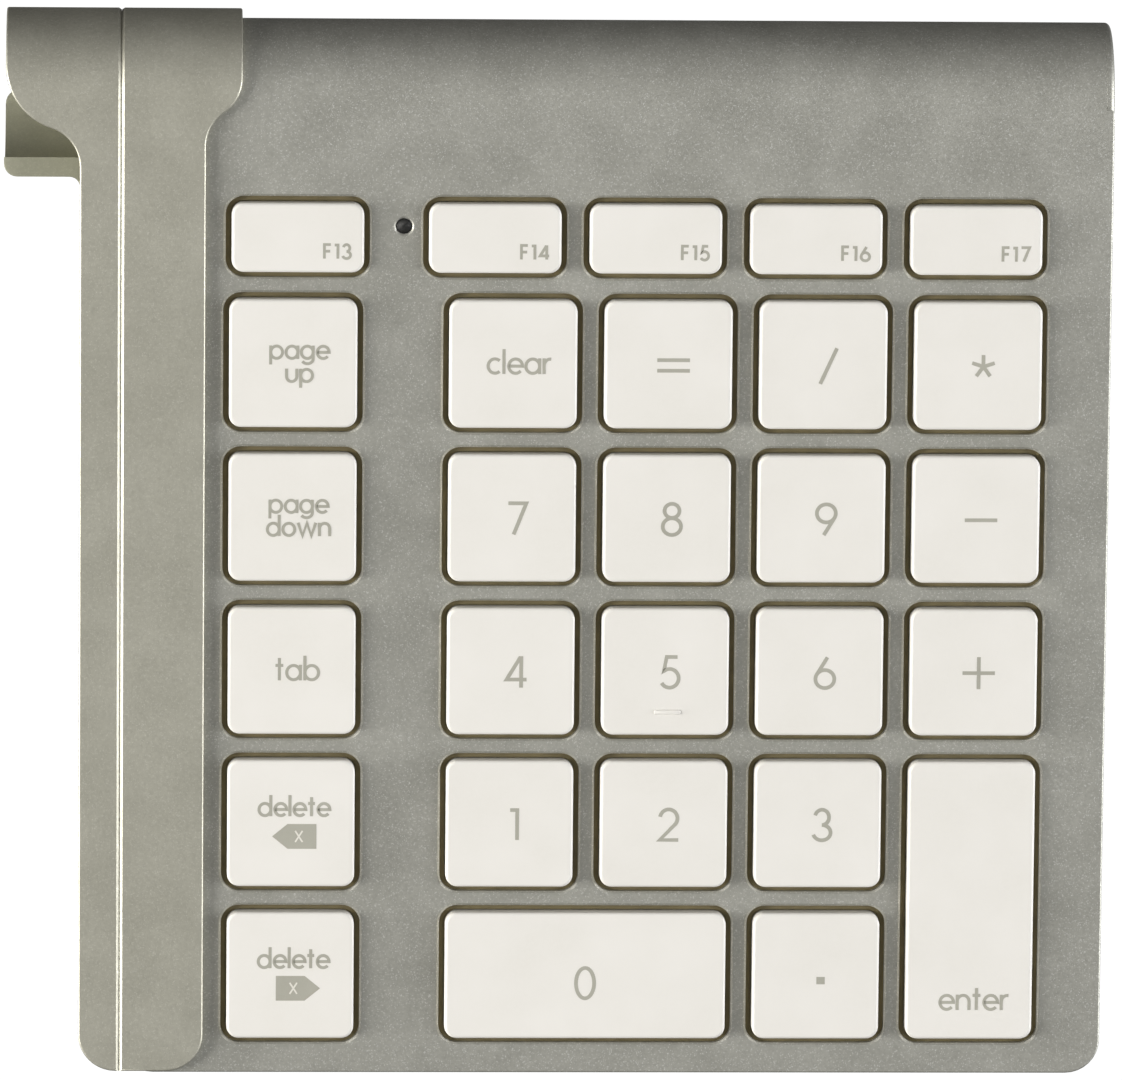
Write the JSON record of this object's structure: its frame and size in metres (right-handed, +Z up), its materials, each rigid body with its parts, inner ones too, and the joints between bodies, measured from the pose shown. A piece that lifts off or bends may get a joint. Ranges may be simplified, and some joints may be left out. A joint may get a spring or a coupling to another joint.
{
  "type": "numeric keypad",
  "caption": "Slim wireless numeric keypad: sloped metal deck, ivory keys on scissor levers, battery tube along the back, and a joining clip for a neighbouring keyboard",
  "frame": {"origin": "centre of the bounding box at desk level", "axes": "+X to the user's right along the tube, +Y away from the user, +Z up"},
  "size_m": [0.1358, 0.1312, 0.0207],
  "materials": {
    "shell_metal": "satin silver-grey with fine metallic flake",
    "clip_metal": "satin silver, slightly warmer, with bright bevelled edges",
    "white_plastic": "fine matt",
    "key_plastic": "smooth matt ivory white with grey legends",
    "steel": "plain",
    "gasket_foam": "soft, matt, olive brown foam",
    "membrane_film": "clear film with printed tracks",
    "dome_rubber": "soft, matt",
    "foot_rubber": "soft, matt, pale grey",
    "seal_rubber": "soft, matt",
    "lever_plastic": "moulded",
    "board_laminate": "green solder mask",
    "black_plastic": "moulded",
    "led_lens": "clear lens",
    "light_pipe_plastic": "smoked, dark while unlit",
    "sleeve_plastic": "moulded",
    "contact_brass": "plated",
    "lead_plastic": "insulated wire",
    "cell_can": "plain printed wrap"
  },
  "bodies": {
    "deck": {"top_shell": "shell_metal", "bottom_cover": "white_plastic", "dust_gasket": "gasket_foam", "base_plate": "steel", "membrane_circuit": "membrane_film", "rubber_domes": "dome_rubber", "scissor_outer_frames": "lever_plastic", "scissor_inner_frames": "lever_plastic", "stabiliser_wires": "steel", "circuit_board": "board_laminate", "controller_chip": "black_plastic", "radio_module": "steel", "flex_connector": "black_plastic", "switch_body": "black_plastic", "status_led": "led_lens", "light_pipe": "light_pipe_plastic", "board_screws": "steel", "case_screws": "steel", "left_end_plug": "white_plastic", "battery_sleeve": "sleeve_plastic", "battery_contact": "contact_brass", "battery_spring": "steel", "battery_leads": "lead_plastic", "battery_1": "cell_can", "battery_2": "cell_can", "rubber_feet": "foot_rubber"},
    "key_f13": {"key_f13": "key_plastic"},
    "key_f14": {"key_f14": "key_plastic"},
    "key_f15": {"key_f15": "key_plastic"},
    "key_f16": {"key_f16": "key_plastic"},
    "key_f17": {"key_f17": "key_plastic"},
    "key_page_up": {"key_page_up": "key_plastic"},
    "key_page_down": {"key_page_down": "key_plastic"},
    "key_tab": {"key_tab": "key_plastic"},
    "key_delete_back": {"key_delete_back": "key_plastic"},
    "key_delete_forward": {"key_delete_forward": "key_plastic"},
    "key_clear": {"key_clear": "key_plastic"},
    "key_equals": {"key_equals": "key_plastic"},
    "key_divide": {"key_divide": "key_plastic"},
    "key_multiply": {"key_multiply": "key_plastic"},
    "key_7": {"key_7": "key_plastic"},
    "key_8": {"key_8": "key_plastic"},
    "key_9": {"key_9": "key_plastic"},
    "key_minus": {"key_minus": "key_plastic"},
    "key_4": {"key_4": "key_plastic"},
    "key_5": {"key_5": "key_plastic"},
    "key_6": {"key_6": "key_plastic"},
    "key_plus": {"key_plus": "key_plastic"},
    "key_1": {"key_1": "key_plastic"},
    "key_2": {"key_2": "key_plastic"},
    "key_3": {"key_3": "key_plastic"},
    "key_decimal": {"key_decimal": "key_plastic"},
    "key_0": {"key_0": "key_plastic"},
    "key_enter": {"key_enter": "key_plastic"},
    "cap_seal": {"cap_seal": "seal_rubber"},
    "battery_cap": {"battery_cap": "shell_metal", "cap_contact": "contact_brass"},
    "switch_knob": {"switch_knob": "white_plastic"},
    "joining_clip": {"clip_top_plate": "clip_metal", "clip_lower_cradle": "clip_metal"}
  },
  "joints": [
    {"name": "press_f13", "type": "slide", "parent": "deck", "child": "key_f13", "axis": [0, 0.1132, -0.9936], "range_m": [0, 0.0014], "stiffness_N_per_m": 150, "springref_m": -0.001, "deforming": ["rubber_domes"]},
    {"name": "press_f14", "type": "slide", "parent": "deck", "child": "key_f14", "axis": [0, 0.1132, -0.9936], "range_m": [0, 0.0014], "stiffness_N_per_m": 150, "springref_m": -0.001, "deforming": ["rubber_domes"]},
    {"name": "press_f15", "type": "slide", "parent": "deck", "child": "key_f15", "axis": [0, 0.1132, -0.9936], "range_m": [0, 0.0014], "stiffness_N_per_m": 150, "springref_m": -0.001, "deforming": ["rubber_domes"]},
    {"name": "press_f16", "type": "slide", "parent": "deck", "child": "key_f16", "axis": [0, 0.1132, -0.9936], "range_m": [0, 0.0014], "stiffness_N_per_m": 150, "springref_m": -0.001, "deforming": ["rubber_domes"]},
    {"name": "press_f17", "type": "slide", "parent": "deck", "child": "key_f17", "axis": [0, 0.1132, -0.9936], "range_m": [0, 0.0014], "stiffness_N_per_m": 150, "springref_m": -0.001, "deforming": ["rubber_domes"]},
    {"name": "press_page_up", "type": "slide", "parent": "deck", "child": "key_page_up", "axis": [0, 0.1132, -0.9936], "range_m": [0, 0.0014], "stiffness_N_per_m": 150, "springref_m": -0.001, "deforming": ["rubber_domes"]},
    {"name": "press_page_down", "type": "slide", "parent": "deck", "child": "key_page_down", "axis": [0, 0.1132, -0.9936], "range_m": [0, 0.0014], "stiffness_N_per_m": 150, "springref_m": -0.001, "deforming": ["rubber_domes"]},
    {"name": "press_tab", "type": "slide", "parent": "deck", "child": "key_tab", "axis": [0, 0.1132, -0.9936], "range_m": [0, 0.0014], "stiffness_N_per_m": 150, "springref_m": -0.001, "deforming": ["rubber_domes"]},
    {"name": "press_delete_back", "type": "slide", "parent": "deck", "child": "key_delete_back", "axis": [0, 0.1132, -0.9936], "range_m": [0, 0.0014], "stiffness_N_per_m": 150, "springref_m": -0.001, "deforming": ["rubber_domes"]},
    {"name": "press_delete_forward", "type": "slide", "parent": "deck", "child": "key_delete_forward", "axis": [0, 0.1132, -0.9936], "range_m": [0, 0.0014], "stiffness_N_per_m": 150, "springref_m": -0.001, "deforming": ["rubber_domes"]},
    {"name": "press_clear", "type": "slide", "parent": "deck", "child": "key_clear", "axis": [0, 0.1132, -0.9936], "range_m": [0, 0.0014], "stiffness_N_per_m": 150, "springref_m": -0.001, "deforming": ["rubber_domes"]},
    {"name": "press_equals", "type": "slide", "parent": "deck", "child": "key_equals", "axis": [0, 0.1132, -0.9936], "range_m": [0, 0.0014], "stiffness_N_per_m": 150, "springref_m": -0.001, "deforming": ["rubber_domes"]},
    {"name": "press_divide", "type": "slide", "parent": "deck", "child": "key_divide", "axis": [0, 0.1132, -0.9936], "range_m": [0, 0.0014], "stiffness_N_per_m": 150, "springref_m": -0.001, "deforming": ["rubber_domes"]},
    {"name": "press_multiply", "type": "slide", "parent": "deck", "child": "key_multiply", "axis": [0, 0.1132, -0.9936], "range_m": [0, 0.0014], "stiffness_N_per_m": 150, "springref_m": -0.001, "deforming": ["rubber_domes"]},
    {"name": "press_7", "type": "slide", "parent": "deck", "child": "key_7", "axis": [0, 0.1132, -0.9936], "range_m": [0, 0.0014], "stiffness_N_per_m": 150, "springref_m": -0.001, "deforming": ["rubber_domes"]},
    {"name": "press_8", "type": "slide", "parent": "deck", "child": "key_8", "axis": [0, 0.1132, -0.9936], "range_m": [0, 0.0014], "stiffness_N_per_m": 150, "springref_m": -0.001, "deforming": ["rubber_domes"]},
    {"name": "press_9", "type": "slide", "parent": "deck", "child": "key_9", "axis": [0, 0.1132, -0.9936], "range_m": [0, 0.0014], "stiffness_N_per_m": 150, "springref_m": -0.001, "deforming": ["rubber_domes"]},
    {"name": "press_minus", "type": "slide", "parent": "deck", "child": "key_minus", "axis": [0, 0.1132, -0.9936], "range_m": [0, 0.0014], "stiffness_N_per_m": 150, "springref_m": -0.001, "deforming": ["rubber_domes"]},
    {"name": "press_4", "type": "slide", "parent": "deck", "child": "key_4", "axis": [0, 0.1132, -0.9936], "range_m": [0, 0.0014], "stiffness_N_per_m": 150, "springref_m": -0.001, "deforming": ["rubber_domes"]},
    {"name": "press_5", "type": "slide", "parent": "deck", "child": "key_5", "axis": [0, 0.1132, -0.9936], "range_m": [0, 0.0014], "stiffness_N_per_m": 150, "springref_m": -0.001, "deforming": ["rubber_domes"]},
    {"name": "press_6", "type": "slide", "parent": "deck", "child": "key_6", "axis": [0, 0.1132, -0.9936], "range_m": [0, 0.0014], "stiffness_N_per_m": 150, "springref_m": -0.001, "deforming": ["rubber_domes"]},
    {"name": "press_plus", "type": "slide", "parent": "deck", "child": "key_plus", "axis": [0, 0.1132, -0.9936], "range_m": [0, 0.0014], "stiffness_N_per_m": 150, "springref_m": -0.001, "deforming": ["rubber_domes"]},
    {"name": "press_1", "type": "slide", "parent": "deck", "child": "key_1", "axis": [0, 0.1132, -0.9936], "range_m": [0, 0.0014], "stiffness_N_per_m": 150, "springref_m": -0.001, "deforming": ["rubber_domes"]},
    {"name": "press_2", "type": "slide", "parent": "deck", "child": "key_2", "axis": [0, 0.1132, -0.9936], "range_m": [0, 0.0014], "stiffness_N_per_m": 150, "springref_m": -0.001, "deforming": ["rubber_domes"]},
    {"name": "press_3", "type": "slide", "parent": "deck", "child": "key_3", "axis": [0, 0.1132, -0.9936], "range_m": [0, 0.0014], "stiffness_N_per_m": 150, "springref_m": -0.001, "deforming": ["rubber_domes"]},
    {"name": "press_decimal", "type": "slide", "parent": "deck", "child": "key_decimal", "axis": [0, 0.1132, -0.9936], "range_m": [0, 0.0014], "stiffness_N_per_m": 150, "springref_m": -0.001, "deforming": ["rubber_domes"]},
    {"name": "press_0", "type": "slide", "parent": "deck", "child": "key_0", "axis": [0, 0.1132, -0.9936], "range_m": [0, 0.0014], "stiffness_N_per_m": 150, "springref_m": -0.001, "deforming": ["rubber_domes"]},
    {"name": "press_enter", "type": "slide", "parent": "deck", "child": "key_enter", "axis": [0, 0.1132, -0.9936], "range_m": [0, 0.0014], "stiffness_N_per_m": 150, "springref_m": -0.001, "deforming": ["rubber_domes"]},
    {"name": "cap_travel", "type": "slide", "parent": "deck", "child": "cap_seal", "axis": [1, 0, 0], "range_m": [0, 0.0055]},
    {"name": "cap_turn", "type": "hinge", "parent": "cap_seal", "child": "battery_cap", "pos_m": [0.0678, 0.0554, 0.0105], "axis": [1, 0, 0], "range_deg": [0, 1320]},
    {"name": "switch_slide", "type": "slide", "parent": "deck", "child": "switch_knob", "axis": [1, 0, 0], "range_m": [0, 0.0025]},
    {"name": "clip_slide", "type": "slide", "parent": "deck", "child": "joining_clip", "axis": [-1, 0, 0], "range_m": [0, 0.0154]}
  ],
  "couplings": [
    {"joint": "cap_turn", "follows": "cap_travel", "rad_per_m": 4188.8}
  ]
}
